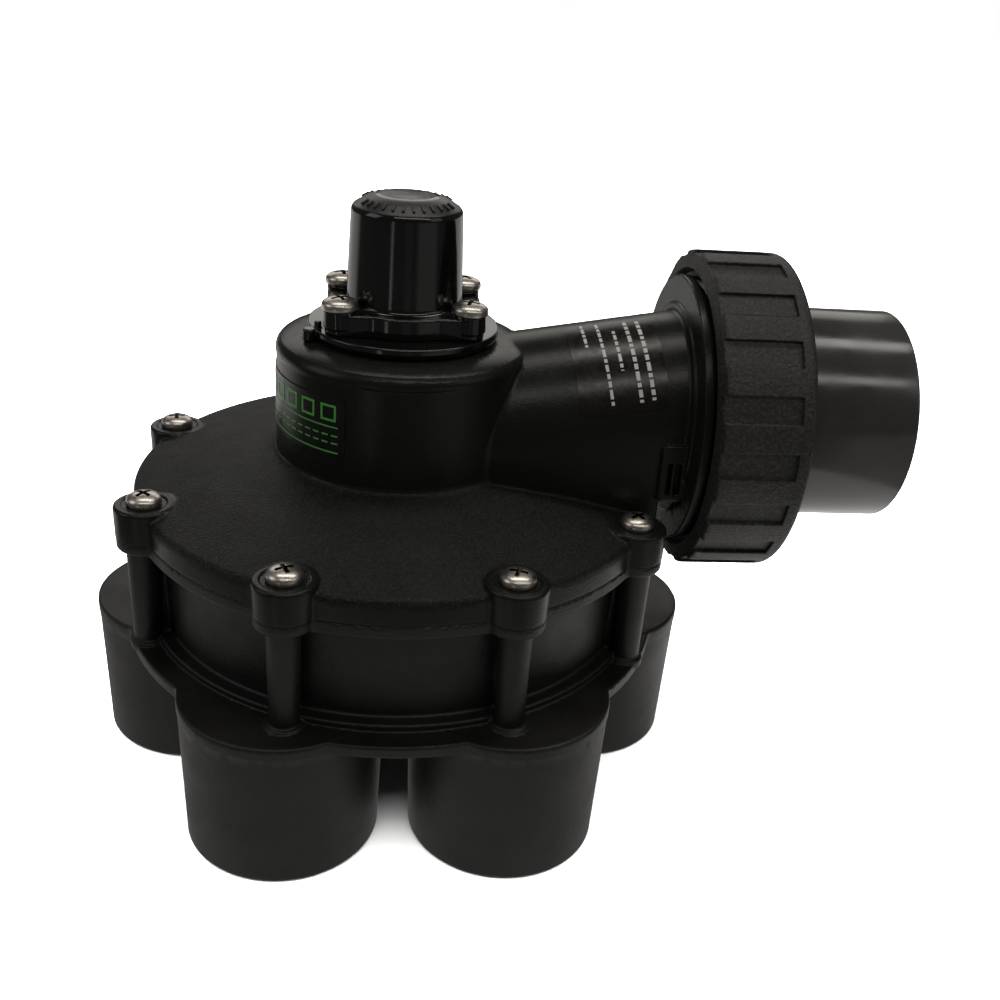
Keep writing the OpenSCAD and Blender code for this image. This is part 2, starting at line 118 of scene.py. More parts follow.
def lug_distance(x, y, out=0.0):
    """Distance to the nearest lid screw axis, or to a line set further out than it."""
    ay = np.abs(y)
    found = None
    for cx, cy in lug_centres():
        d = np.hypot(x - cx * (1 + out / LUG_R), ay - cy * (1 + out / LUG_R))
        found = d if found is None else np.minimum(found, d)
    return found


def lug_web(x, y):
    """Half thickness coordinate and radius along the nearest lug's own direction."""
    ay = np.abs(y)
    across, along, best = None, None, None
    for angle, (cx, cy) in zip(LUG_ANGLES, lug_centres()):
        a = math.radians(angle)
        d = np.hypot(x - cx, ay - cy)
        t = np.abs(-math.sin(a) * x + math.cos(a) * ay)
        s = math.cos(a) * x + math.sin(a) * ay
        if best is None:
            across, along, best = t, s, d
        else:
            near = d < best
            across, along = np.where(near, t, across), np.where(near, s, along)
            best = np.minimum(best, d)
    return across, along


def cover_screw_distance(x, y):
    return np.hypot(np.abs(x) - COVER_SCREW_X, np.abs(y) - COVER_SCREW_Y)


def body_field(x, y, z):
    """The lower body: chamber, six outlets, base plate, posts and lugs."""
    r = np.hypot(x, y)
    angle = np.arctan2(y, x)
    sixth = math.pi / 3
    fold = angle - sixth * np.round(angle / sixth)
    fx, fy = r * np.cos(fold), r * np.sin(fold)
    u = np.hypot(fx - OUTLET_AT, fy)
    tube = both(u - (OUTLET_R + OUTLET_FLARE * z / PLATE_TOP), slab(z, 0, PLATE_TOP), 0.7)
    plate = both(either(r - 78.2, u - 27.1, 0.8), slab(z, PLATE_LOW, PLATE_TOP), 0.45)
    solid = either(tube, plate, 0.6)
    solid = either(solid, both(r - 72.05, slab(z, 40, 44.7), 0.7), 0.5)
    wall = r - (WALL_R + WALL_FLARE * (z - PLATE_TOP) / WALL_HEIGHT)
    solid = either(solid, both(wall, slab(z, 41, SPLIT_Z), 0.3), 0.9)
    v = lug_distance(x, y)
    across, along = lug_web(x, y)
    w = lug_distance(x, y, POST_OUT)
    post = both(w - (3.75 + 0.45 * (z - PLATE_TOP) / 29), slab(z, 41, 73.5), 0.3)
    post = either(post, both(w - 4.9, slab(z, 41, 43.5), 0.4), 0.8)
    web = np.maximum(np.maximum(across - 1.3, slab(along, 66, LUG_R)), slab(z, 41, 73))
    rib = either(post, web, 0.4)
    lug = either(both(v - 7.8, slab(z, 71.9, 76.5), 0.9), post, 1.4)
    band = both(r - RIM_R, slab(z, 71.4, 76.5), 0.5)
    top = either(band, lug, 0.9)
    solid = either(solid, rib, 0.6)
    solid = either(solid, top, 0.5)
    spoke = np.maximum(np.abs(fy) - 1.5, np.maximum(slab(fx, 12, 37), slab(z, 18, 40)))
    core = either(both(r - 16, slab(z, 0, 41), 0.7), spoke, 1.0)
    solid = either(solid, core, 0.8)
    solid = both(solid, z - SPLIT_Z, 0.22)
    solid = cut(solid, np.maximum(r - 66, 44 - z), 0.35)
    w = np.hypot(fx - 50.5, fy)
    land = both(np.maximum(w - 14.4, r - 66.5), slab(z, 42, 45), 0.3)
    solid = either(solid, land, 0.3)
    socket = np.maximum(u - SOCKET_R - 0.9 * np.clip(1 - z, 0, 1), z - SOCKET_TOP)
    solid = cut(solid, socket, 0.35)
    solid = cut(solid, np.maximum(w - 12, slab(z, 30, 60)), 0.3)
    solid = cut(solid, np.maximum(r - 12.5, slab(z, 14, 60)), 0.3)
    guide = both(r - 7, slab(z, 13, 30), 0.5)
    solid = either(solid, guide, 0.5)
    solid = cut(solid, np.maximum(r - 5.06, slab(z, 11, 60)), 0.25)
    solid = cut(solid, np.maximum(v - 2.48, 52 - z), 0.25)
    return cut(solid, np.maximum(slab(r, 68.1, 70.9), 72.6 - z), 0.2)


def thread_height(x, y, z):
    """0 at the root and 1 at the crest of a right-hand thread about the inlet axis."""
    turn = x / THREAD_PITCH - np.arctan2(z - INLET_Z, y) / (2 * math.pi)
    away = np.abs(2 * (turn - np.floor(turn)) - 1)
    return np.clip(1.5 - 2.5 * away, 0, 1)


def dome_field(r, z):
    top = np.interp(r, (0, 35.1, 55, 73, 76), (91.4, 91.3, 87.1, 82.35, 82.0)).astype(np.float32)
    return both(both(r - RIM_R, (z - top) * 0.97, 1.5), SPLIT_Z - z, 0.22)


def lid_lug_field(v, z):
    return both(v - (7.9 + 0.2 * (z - SPLIT_Z) / 9), z - LUG_TOP, 1.0)


def collar_field(r, z):
    side = np.interp(z, (80, 91, 119.6, 120.4, 121.4, 122.4, 123.3, 123.9, 125),
                     (35.2, 35.1, 34.75, 35.0, 34.9, 34.45, 33.6, 32.5, 29.5)).astype(np.float32)
    top = np.interp(r, (27.5, 32.5, 36), (124.9, 124.25, 123.6)).astype(np.float32)
    return both(r - side, z - top, 0.9)


def neck_frame(x, z):
    """Coordinates along and above the tilted neck axis."""
    dx, dz = x - NECK_MID[0], z - NECK_MID[1]
    return dx * math.cos(TILT) + dz * math.sin(TILT), -dx * math.sin(TILT) + dz * math.cos(TILT)


def neck_field(x, y, z):
    along, above = neck_frame(x, z)
    radial = np.where(above > 0, np.hypot(y, above), np.abs(y)) - NECK_R
    end = np.where(above > 0, x - 77.5, x - 71.4)
    neck = both(radial, np.maximum(end, 8 - x), 0.7)
    about = np.hypot(y, z - INLET_Z)
    return either(neck, both(about - 26.75, slab(x, 70.5, 79), 0.3), 0.3)


def with_neck_pad(solid, x, y, z):
    """Raised pad with two slots in it, low on the near side of the neck's end."""
    pad = both(both(slab(x, 70.4, 78), slab(z, 87.6, 104.4), 1.6), slab(y, -27.9, -18), 0.5)
    slots = np.maximum(both(slab(x, 72.6, 76.4), slab(z, 89.8, 99.2), 1.0), slab(y, -32, -25.2))
    return cut(either(solid, pad, 0.3), np.maximum(slots, 0.45 - np.abs(x - 74.2)), 0.25)


def union_end_field(x, y, z):
    """Flange and male thread of the neck."""
    about = np.hypot(y, z - INLET_Z)
    ledge = both(about - 30.2, slab(x, 77.0, 79), 0.4)
    flange = both(about - FLANGE_R, slab(x, 77.8, 80.5), 0.4)
    lead_in = np.clip((x - 81) / 2, 0, 1)
    thread = about - (THREAD_ROOT_R + THREAD_HEIGHT * thread_height(x, y, z) * lead_in)
    thread = both(thread, slab(x, 79, 96), 0.8)
    return either(either(flange, ledge, 0.5), thread, 0.4)


def lid_field(x, y, z):
    r = np.hypot(x, y)
    v = lug_distance(x, y)
    about = np.hypot(y, z - INLET_Z)
    along, above = neck_frame(x, z)
    solid = either(dome_field(r, z), np.maximum(collar_field(r, z), 80 - z), 1.3)
    neck = np.maximum(neck_field(x, y, z), 76 - z)
    solid = either(solid, neck, 0.8)
    solid = either(solid, union_end_field(x, y, z), 0.9)
    solid = with_neck_pad(solid, x, y, z)
    solid = either(solid, both(lid_lug_field(v, z), SPLIT_Z - z, 0.22), 0.8)
    solid = either(solid, both(r - 65.7, slab(z, 71, 77), 0.3), 0.3)
    roof = np.interp(r, (0, 31, 54, 62, 70), (87.2, 87, 82.9, 77.6, 70)).astype(np.float32)
    room = np.minimum(np.maximum(r - 62, z - roof), np.maximum(r - 30, slab(z, 80, 119.4)))
    solid = cut(solid, room, 0.5)
    boss = both(r - 13, slab(z, 103, 120), 0.4)
    s = cover_screw_distance(x, y)
    boss = either(boss, both(s - 5, slab(z, 112, 120), 0.4), 0.6)
    solid = either(solid, boss, 0.6)
    solid = cut(solid, np.maximum(np.hypot(y, above) - 20, slab(along, -30, 37)), 0.4)
    solid = cut(solid, np.maximum(about - 20, slab(x, 68, 99)), 0.4)
    solid = cut(solid, np.maximum(slab(about, 23.6, 27.6), slab(x, 92.7, 99)), 0.2)
    solid = cut(solid, np.maximum(v - 5.9, slab(z, 83.9, 90)), 0.3)
    solid = cut(solid, np.maximum(v - 2.6, slab(z, 70, 90)), 0.2)
    solid = cut(solid, np.maximum(r - 9.05, slab(z, 102, 130)), 0.2)
    solid = cut(solid, np.maximum(r - 12.6, slab(z, 120.4, 130)), 0.2)
    return cut(solid, np.maximum(s - 2.48, slab(z, 116, 130)), 0.2)


def nut_field(x, y, z):
    about = np.hypot(y, z - INLET_Z)
    face = np.interp(about, (40.5, 43.3, 45.3), (NUT_LOW, 80.9, 81.6)).astype(np.float32)
    solid = both(about - NUT_R, (face - x) * 0.9, 0.5)
    solid = both(solid, x - NUT_HIGH, 2.1)
    pitch = 2 * math.pi / NUT_POCKETS
    turn = (np.arctan2(-y, z - INLET_Z) - math.radians(70)) / pitch
    turn = (turn - np.round(turn)) * pitch
    across, out = np.abs(about * np.sin(turn)), about * np.cos(turn)
    pocket = np.maximum(np.maximum(across - 3.6, 44.1 - out), x - 101.8)
    solid = cut(solid, pocket, 0.22)
    bore = about - (37.4 + 0.9 * thread_height(x, y, z) * np.clip((x - 82.5) / 2, 0, 1))
    solid = cut(solid, np.maximum(bore, x - 100.4), 0.25)
    mouth = np.interp(x, (NUT_LOW, 82.5), (40.1, 39)).astype(np.float32)
    solid = cut(solid, np.maximum(about - mouth, x - 82.5), 0.25)
    return cut(solid, about - 30.55, 0.4)


def cover_field(x, y, z):
    r = np.hypot(x, y)
    qx, qy = np.abs(x) - 16.9, np.abs(y) - 13.1
    block = np.hypot(np.maximum(qx, 0), np.maximum(qy, 0)) + np.minimum(np.maximum(qx, qy), 0) - 4.2
    flange = both(either(block, r - 19.3, 0.5), slab(z, SEAT_TOP, CAP_FOOT_Z), 0.7)
    side = r - np.interp(z, (CAP_FOOT_Z, CAP_BEVEL_Z), (CAP_FOOT_R, CAP_TOP_R)).astype(np.float32)
    bevel = ((r - CAP_TOP_R) * 3.2 + (z - CAP_BEVEL_Z) * 5.3) / 6.19
    cap = both(both(side, bevel, 0.9), z - CAP_TOP_Z, 1.2)
    solid = either(flange, np.maximum(cap, SEAT_TOP - z), 1.5)
    s = cover_screw_distance(x, y)
    solid = either(solid, both(s - 4.4, slab(z, 130, 134.7), 0.3), 0.5)
    solid = cut(solid, np.maximum(r - 12.2, z - 158), 0.3)
    solid = cut(solid, s - 2.6, 0.2)
    pin = np.maximum(np.hypot(x, z - 138.8) - 1.53, slab(np.abs(y), 11, 14.6))
    return cut(solid, pin, 0.1)


def seat_field(x, y, z):
    r = np.hypot(x, y)
    lean = np.interp(z, (124.9, 126.6, SEAT_TOP), (25.5, 26.3, 26.3)).astype(np.float32)
    solid = both(r - lean, slab(z, 124.95, SEAT_TOP), 0.6)
    a = math.radians(203)
    ex, ey = math.cos(a), math.sin(a)
    ear = both(np.hypot(x - 27.2 * ex, y - 27.2 * ey) - 2.0, slab(z, 124.95, 128.4), 0.6)
    hook = both(np.hypot(x - 25.0 * ex, y - 25.0 * ey) - 1.0, slab(z, 126, 130.2), 0.5)
    solid = either(either(solid, ear, 0.5), hook, 0.4)
    s = cover_screw_distance(x, y)
    solid = cut(solid, np.maximum(r - 13.5, slab(z, 120, 140)), 0.2)
    solid = cut(solid, s - 2.6, 0.15)
    return cut(solid, np.maximum(slab(r, 15.3, 17.9), 126.3 - z), 0.15)


# ---------------------------------------------------------------- meshes
def slopes(field, p, reach):
    """Unit gradient of a field at points."""
    cols = []
    for k in range(3):
        ahead, behind = p.copy(), p.copy()
        ahead[:, k] += reach
        behind[:, k] -= reach
        cols.append(field(*ahead.T) - field(*behind.T))
    g = np.stack(cols, 1)
    return g / np.maximum(np.linalg.norm(g, axis=1), 1e-9)[:, None]


def mesh_from(name, points, tris, quads):
    me = bpy.data.meshes.new(name)
    me.vertices.add(len(points))
    me.vertices.foreach_set("co", (points * MM).astype(np.float32).ravel())
    loops = np.concatenate([tris.ravel(), quads.ravel()]).astype(np.int32)
    starts = np.concatenate([np.arange(len(tris)) * 3, len(tris) * 3 + np.arange(len(quads)) * 4])
    me.loops.add(len(loops))
    me.loops.foreach_set("vertex_index", loops)
    me.polygons.add(len(starts))
    me.polygons.foreach_set("loop_start", starts.astype(np.int32))
    me.update(calc_edges=True)
    me.validate()
    return me


def carve(name, field, low, high, step, adaptivity):
    """Mesh of a field's zero surface, with the field's own slope as its normals."""
    axes = [np.arange(l - 2 * step, h + 2.5 * step, step, dtype=np.float32) for l, h in zip(low, high)]
    grid = np.empty([len(a) for a in axes], np.float32)
    for i in range(0, len(axes[0]), 16):
        x, y, z = axes[0][i:i + 16, None, None], axes[1][None, :, None], axes[2][None, None, :]
        grid[i:i + 16] = np.clip(field(x, y, z), -3 * step, 3 * step)
    volume = vdb.FloatGrid(3 * step)
    volume.copyFromArray(grid)
    points, tris, quads = volume.convertToPolygons(isovalue=0.0, adaptivity=adaptivity)
    p = points.astype(np.float64) * step + np.array([a[0] for a in axes])
    for _ in range(2):
        move = slopes(field, p, 0.04) * field(*p.T)[:, None]
        p -= np.clip(move, -0.4 * step, 0.4 * step)
    n = slopes(field, p, 0.12)
    corner = quads[:, :3] if len(quads) else tris
    a, b, c = (p[corner[:, k]] for k in range(3))
    if np.sum(np.cross(b - a, c - a) * n[corner[:, 0]]) < 0:
        tris, quads = tris[:, ::-1], quads[:, ::-1]
    me = mesh_from(name, p, tris, quads)
    me.polygons.foreach_set("use_smooth", np.ones(len(me.polygons), bool))
    if len(me.vertices) == len(p):
        me.normals_split_custom_set_from_vertices(n.astype(np.float32).tolist())
    ob = bpy.data.objects.new(name, me)
    bpy.context.scene.collection.objects.link(ob)
    return ob, p


def rounded(corners, parts=5):
    """Points of a closed profile from (a, b, radius) corners, each turned into an arc."""
    out, n = [], len(corners)
    for i, (a, b, radius) in enumerate(corners):
        here = Vector((a, b))
        before = Vector(corners[i - 1][:2]) - here
        after = Vector(corners[(i + 1) % n][:2]) - here
        if radius <= 0:
            out.append((a, b))
            continue
        d1, d2 = before.normalized(), after.normalized()
        half = math.acos(max(-1, min(1, d1.dot(d2)))) / 2
        reach = min(radius / math.tan(half), before.length * 0.49, after.length * 0.49)
        true_r = reach * math.tan(half)
        centre = here + (d1 + d2).normalized() * (true_r / math.sin(half))
        p1, p2 = here + d1 * reach, here + d2 * reach
        a1 = math.atan2(*(p1 - centre).yx)
        a2 = math.atan2(*(p2 - centre).yx)
        turn = (a2 - a1 + math.pi) % (2 * math.pi) - math.pi
        for k in range(parts + 1):
            t = a1 + turn * k / parts
            out.append(tuple(centre + true_r * Vector((math.cos(t), math.sin(t)))))
    return out


def lathe(bm, profile, segments, place):
    """Adds a closed profile of (height, radius), turned about its axis.
    place maps (height, u, v) to a point."""
    rings = []
    for h, r in profile:
        if r < 1e-6:
            rings.append([bm.verts.new(place(h, 0.0, 0.0))] * segments)
        else:
            rings.append([bm.verts.new(place(h, r * math.cos(t), r * math.sin(t)))
                          for t in (2 * math.pi * k / segments for k in range(segments))])
    for i, ring in enumerate(rings):
        nxt = rings[(i + 1) % len(rings)]
        for k in range(segments):
            quad = [ring[k], ring[(k + 1) % segments], nxt[(k + 1) % segments], nxt[k]]
            seen = []
            for vert in quad:
                if vert not in seen:
                    seen.append(vert)
            if len(seen) > 2:
                bm.faces.new(seen)


def finish_mesh(name, bm, smooth_angle=35):
    bmesh.ops.recalc_face_normals(bm, faces=bm.faces)
    me = bpy.data.meshes.new(name)
    bm.to_mesh(me)
    bm.free()
    me.transform(Matrix.Scale(MM, 4))
    me.polygons.foreach_set("use_smooth", np.ones(len(me.polygons), bool))
    me.set_sharp_from_angle(angle=math.radians(smooth_angle))
    ob = bpy.data.objects.new(name, me)
    bpy.context.scene.collection.objects.link(ob)
    return ob


def along_x(h, u, v):
    return (h, u, INLET_Z + v)


def along_z(h, u, v):
    return (u, v, h)


def screw_mesh(name, head_r, head_h, length):
    """A pan head screw with a cross recess, its seat at z = 0, in millimetres."""
    bm = bmesh.new()
    dome = [(head_h * math.cos(t) * 0.62 + head_h * 0.38, head_r * 0.985 * math.sin(t) ** 0.92)
            for t in (math.radians(a) for a in (0, 8, 16, 26, 36, 46, 56, 66, 76, 84, 90))]
    lip = [(head_h * 0.26, head_r), (head_h * 0.12, head_r), (head_h * 0.03, head_r * 0.975),
           (0, head_r * 0.93)]
    shank = [(0, 2.25), (-0.4, 2.0)]
    h = -0.8
    while h > -length + 2.6:
        shank += [(h, 2.0), (h - 0.42, 2.38), (h - 0.62, 2.38), (h - 1.04, 2.0)]
        h -= 1.27
    shank += [(-length + 0.8, 1.6), (-length, 0.9), (-length, 0.0)]
    lathe(bm, [(dome[0][0], 0.0)] + dome[1:] + lip + shank, 48, along_z)
    bmesh.ops.recalc_face_normals(bm, faces=bm.faces)
    head = bpy.data.meshes.new(name)
    bm.to_mesh(head)
    bm.free()
    bm = bmesh.new()
    for turn in (0, math.pi / 2):
        deep, high = head_h * 0.25, head_h * 1.2
        ring = []
        for z, hw, hl in ((deep, 0.36, head_r * 0.2), (high, 0.62, head_r * 0.64)):
            ring.append([bm.verts.new(Matrix.Rotation(turn, 3, "Z") @ Vector((sx * hl, sy * hw, z)))
                         for sx, sy in ((-1, -1), (1, -1), (1, 1), (-1, 1))])
        bm.faces.new(ring[0][::-1])
        bm.faces.new(ring[1])
        for k in range(4):
            bm.faces.new([ring[0][k], ring[0][(k + 1) % 4], ring[1][(k + 1) % 4], ring[1][k]])
    bmesh.ops.recalc_face_normals(bm, faces=bm.faces)
    cross = bpy.data.meshes.new(name + "_cross")
    bm.to_mesh(cross)
    bm.free()
    a, b = bpy.data.objects.new(name, head), bpy.data.objects.new(name + "_cross", cross)
    for o in (a, b):
        bpy.context.scene.collection.objects.link(o)
    mod = a.modifiers.new("cross", "BOOLEAN")
    mod.operation, mod.solver, mod.object = "DIFFERENCE", "EXACT", b
    mod.use_self = True
    soft = a.modifiers.new("soft", "BEVEL")
    soft.width, soft.segments, soft.limit_method, soft.angle_limit = 0.1, 2, "ANGLE", math.radians(50)
    made = bpy.data.meshes.new_from_object(a.evaluated_get(bpy.context.evaluated_depsgraph_get()))
    for o in (a, b):
        bpy.data.objects.remove(o)
    # Faces inside the cross recess are marked, and the steel material gives them painted shade, a
    # near-black base colour.
    recess_shade = []
    for face in made.polygons:
        r = face.center.xy.length / head_r
        surface = head_h * (0.38 + 0.62 * math.sqrt(max(0.0, 1 - r * r)))
        recess_shade.append(1.0 if r < 0.7 and 0.2 * head_h < face.center.z < surface - 0.12 else 0.0)
    made.attributes.new("recess_shade", "FLOAT", "FACE").data.foreach_set("value", recess_shade)
    return made


def screw_set(name, source, places):
    """One object with a copy of the screw at each (x, y, z, turn)."""
    bm = bmesh.new()
    for x, y, z, turn in places:
        copy = source.copy()
        copy.transform(Matrix.Translation((x, y, z)) @ Matrix.Rotation(math.radians(turn), 4, "Z"))
        bm.from_mesh(copy)
        bpy.data.meshes.remove(copy)
    return finish_mesh(name, bm, 40)


# ---------------------------------------------------------------- materials
def tree_of(name):
    mat = bpy.data.materials.new(name)
    mat.use_nodes = True
    return mat, mat.node_tree, mat.node_tree.nodes["Principled BSDF"]


def noise(tree, coords, scale, detail=3.0, rough=0.55):
    n = tree.nodes.new("ShaderNodeTexNoise")
    n.inputs["Scale"].default_value = scale
    n.inputs["Detail"].default_value = detail
    n.inputs["Roughness"].default_value = rough
    tree.links.new(coords, n.inputs["Vector"])
    return n.outputs["Fac"]


def span(tree, value, from_low, from_high, low, high):
    n = tree.nodes.new("ShaderNodeMapRange")
    n.inputs["From Min"].default_value = from_low
    n.inputs["From Max"].default_value = from_high
    n.inputs["To Min"].default_value = low
    n.inputs["To Max"].default_value = high
    tree.links.new(value, n.inputs["Value"])
    return n.outputs["Result"]


def blend_values(tree, factor, a, b):
    n = tree.nodes.new("ShaderNodeMix")
    n.data_type = "FLOAT"
    tree.links.new(factor, n.inputs[0])
    for socket, v in ((n.inputs[2], a), (n.inputs[3], b)):
        if isinstance(v, (int, float)):
            socket.default_value = v
        else:
            tree.links.new(v, socket)
    return n.outputs[0]


def blend_colours(tree, factor, a, b):
    n = tree.nodes.new("ShaderNodeMix")
    n.data_type = "RGBA"
    tree.links.new(factor, n.inputs[0])
    for socket, v in ((n.inputs[6], a), (n.inputs[7], b)):
        if isinstance(v, tuple):
            socket.default_value = (*v, 1)
        else:
            tree.links.new(v, socket)
    return n.outputs[2]


def bump(tree, height, strength, distance, normal=None):
    n = tree.nodes.new("ShaderNodeBump")
    if isinstance(strength, (int, float)):
        n.inputs["Strength"].default_value = strength
    else:
        tree.links.new(strength, n.inputs["Strength"])
    n.inputs["Distance"].default_value = distance
    tree.links.new(height, n.inputs["Height"])
    if normal is not None:
        tree.links.new(normal, n.inputs["Normal"])
    return n.outputs["Normal"]


def moulded(name, colour, rough, grain_mm, grain, fleck=0.0, wave=0.0, specular=0.5, smooth=None):
    """Black moulded plastic: colour drift, uneven gloss, and a grain of the given size.
    smooth is (roughness, grain) where the mesh's "satin" attribute is 1."""
    mat, tree, bsdf = tree_of(name)
    coords = tree.nodes.new("ShaderNodeTexCoord").outputs["Object"]
    zone = tree.nodes.new("ShaderNodeAttribute")
    zone.attribute_name = "satin"
    drift = noise(tree, coords, 38, 4)
    fine = noise(tree, coords, 1 / (grain_mm * MM * 2.2), 2.5, 0.7)
    pale = tuple(min(1, c * 1.5 + 0.004) for c in colour)
    base = blend_colours(tree, span(tree, drift, 0.35, 0.7, 0, 1), colour, pale)
    if smooth:
        base = blend_colours(tree, zone.outputs["Fac"], base, tuple(c * 5 + 0.0025 for c in colour))
    if fleck:
        speck = span(tree, fine, 0.46, 0.68, 0, fleck)
        if smooth:
            faint = span(tree, fine, 0.52, 0.66, 0, fleck * 0.15)
            speck = blend_values(tree, zone.outputs["Fac"], speck, faint)
        base = blend_colours(tree, speck, base, tuple(min(1, c * 6 + 0.05) for c in colour))
    tree.links.new(base, bsdf.inputs["Base Color"])
    patch = noise(tree, coords, 90, 3)
    gloss = span(tree, patch, 0.3, 0.7, rough - 0.05, rough + 0.06)
    strength = grain
    if smooth:
        sleek = span(tree, patch, 0.3, 0.7, smooth[0] - 0.04, smooth[0] + 0.05)
        gloss = blend_values(tree, zone.outputs["Fac"], gloss, sleek)
        strength = blend_values(tree, zone.outputs["Fac"], grain, smooth[1])
    tree.links.new(gloss, bsdf.inputs["Roughness"])
    normal = bump(tree, fine, strength, grain_mm * MM * 1.1)
    if wave:
        normal = bump(tree, noise(tree, coords, 60, 2), wave, 0.001, normal)
    tree.links.new(normal, bsdf.inputs["Normal"])
    bsdf.inputs["Specular IOR Level"].default_value = specular
    return mat


def steel(name, colour=(0.62, 0.58, 0.52), rough=0.3):
    mat, tree, bsdf = tree_of(name)
    coords = tree.nodes.new("ShaderNodeTexCoord").outputs["Object"]
    drift = noise(tree, coords, 300, 4)
    dull = tuple(c * 0.85 for c in colour)
    plain = blend_colours(tree, span(tree, drift, 0.35, 0.65, 0, 1), dull, colour)
    # Painted shade: faces marked as inside a screw's cross recess get a near-black base colour.
    recess_shade = tree.nodes.new("ShaderNodeAttribute")
    recess_shade.attribute_name = "recess_shade"
    tree.links.new(blend_colours(tree, recess_shade.outputs["Fac"], plain, (0.03, 0.025, 0.022)),
                   bsdf.inputs["Base Color"])
    tree.links.new(span(tree, noise(tree, coords, 900, 3), 0.3, 0.7, rough - 0.04, rough + 0.08),
                   bsdf.inputs["Roughness"])
    tree.links.new(bump(tree, noise(tree, coords, 1500, 2), 0.02, 0.0001), bsdf.inputs["Normal"])
    bsdf.inputs["Metallic"].default_value = 1.0
    return mat


def plain_resin(name, colour, rough):
    """Natural bearing plastic, slightly mottled."""
    mat, tree, bsdf = tree_of(name)
    coords = tree.nodes.new("ShaderNodeTexCoord").outputs["Object"]
    warm = tuple(c * f for c, f in zip(colour, (0.9, 0.86, 0.78)))
    mottle = span(tree, noise(tree, coords, 120, 3), 0.3, 0.7, 0, 1)
    tree.links.new(blend_colours(tree, mottle, colour, warm), bsdf.inputs["Base Color"])
    tree.links.new(span(tree, noise(tree, coords, 400, 3), 0.3, 0.7, rough - 0.06, rough + 0.06),
                   bsdf.inputs["Roughness"])
    tree.links.new(bump(tree, noise(tree, coords, 1500, 2), 0.1, 0.0001), bsdf.inputs["Normal"])
    return mat


def film(name, colour, tint, rough, specular=0.5):
    """Printed label film."""
    mat, tree, bsdf = tree_of(name)
    bsdf.inputs["Specular IOR Level"].default_value = specular
    coords = tree.nodes.new("ShaderNodeTexCoord").outputs["Object"]
    mottle = span(tree, noise(tree, coords, 70, 3), 0.35, 0.65, 0, 1)
    tree.links.new(blend_colours(tree, mottle, colour, tint), bsdf.inputs["Base Color"])
    tree.links.new(span(tree, noise(tree, coords, 500, 3), 0.3, 0.7, rough - 0.05, rough + 0.07),
                   bsdf.inputs["Roughness"])
    tree.links.new(bump(tree, noise(tree, coords, 250, 2), 0.03, 0.0002), bsdf.inputs["Normal"])
    return mat


M = {
    "body_black": moulded("body_black", (0.0050, 0.0048, 0.0042), 0.44, 0.26, 0.4, wave=0.05,
                          specular=0.45),
    "lid_black": moulded("lid_black", (0.0016, 0.0017, 0.0013), 0.46, 0.26, 1.0, fleck=0.42,
                         specular=0.22, smooth=(0.25, 0.2)),
    "gloss_black": moulded("gloss_black", (0.0028, 0.0027, 0.0025), 0.10, 0.3, 0.02, wave=0.03,
                           smooth=(0.40, 0.1)),
    "nut_black": moulded("nut_black", (0.0070, 0.0064, 0.0058), 0.5, 0.42, 1.0, fleck=0.36),
    "tail_black": moulded("tail_black", (0.0390, 0.0374, 0.0360), 0.17, 0.35, 0.04, wave=0.03),
    "stainless": steel("stainless"),
    "spring_steel": steel("spring_steel", (0.55, 0.55, 0.54), 0.3),
    "seal_rubber": moulded("seal_rubber", (0.006, 0.006, 0.006), 0.6, 0.3, 0.3),
    "bearing_plastic": plain_resin("bearing_plastic", (0.72, 0.70, 0.64), 0.4),
    "inner_black": moulded("inner_black", (0.014, 0.014, 0.014), 0.45, 0.35, 0.3),
    "label_green": film("label_green", (0.0040, 0.0044, 0.0036), (0.0052, 0.0058, 0.0046), 0.30, 0.4),
    "label_dark": film("label_dark", (0.0075, 0.0058, 0.0046), (0.0095, 0.0074, 0.0058), 0.24, 0.35),
    "print_green": film("print_green", (0.10, 0.46, 0.075), (0.13, 0.52, 0.09), 0.45),
    "print_white": film("print_white", (0.70, 0.69, 0.66), (0.58, 0.57, 0.55), 0.5),
}


def dress(ob, material):
    ob.data.materials.clear()
    ob.data.materials.append(M[material])
    return ob


def place(ob, body, material, slot, *nodes):
    """Material, body, slot (not used), and the CAD nodes that the piece stands for."""
    dress(ob, material)
    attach(ob, body)
    if nodes:
        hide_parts(*nodes)
    return ob


# ---------------------------------------------------------------- moulded pieces
def set_zone(ob, values):
    zone = ob.data.attributes.new("satin", "FLOAT", "POINT")
    zone.data.foreach_set("value", values.astype(np.float32))


FINE = 0.45
body, _ = carve("lower_body_shell", body_field, (-88, -81, 0), (88, 81, 75), FINE, 0.02)
place(body, "housing", "body_black", "body_black", "lower_body")

lid, spots = carve("lid_shell", lid_field, (-82, -82, 71), (96, 82, 144), FINE, 0.02)
radius = np.hypot(spots[:, 0], spots[:, 1])
on_dome = (np.abs(dome_field(radius, spots[:, 2])) < 0.5) & (radius > 34) & (spots[:, 2] > 80.6)
off_lugs = lug_distance(spots[:, 0], spots[:, 1]) > 8.4
set_zone(lid, 1.0 - (on_dome & off_lugs))
place(lid, "housing", "lid_black", "lid_black", "lid")

nut, _ = carve("union_nut_body", nut_field, (80, -45.5, 59.8), (106, 45.5, 151),
               0.34, 0.02)
place(nut, "nut", "nut_black", "nut_black", "union_nut")

cover, spots = carve("cam_cover_shell", cover_field, (-21, -20, 128), (21.5, 20, 163),
                     0.24, 0.0)
top_r = np.hypot(spots[:, 0], spots[:, 1])
set_zone(cover, ((spots[:, 2] > 159.6) & (top_r > 8.5)).astype(float))
place(cover, "housing", "gloss_black", "gloss_black", "cam_cover")

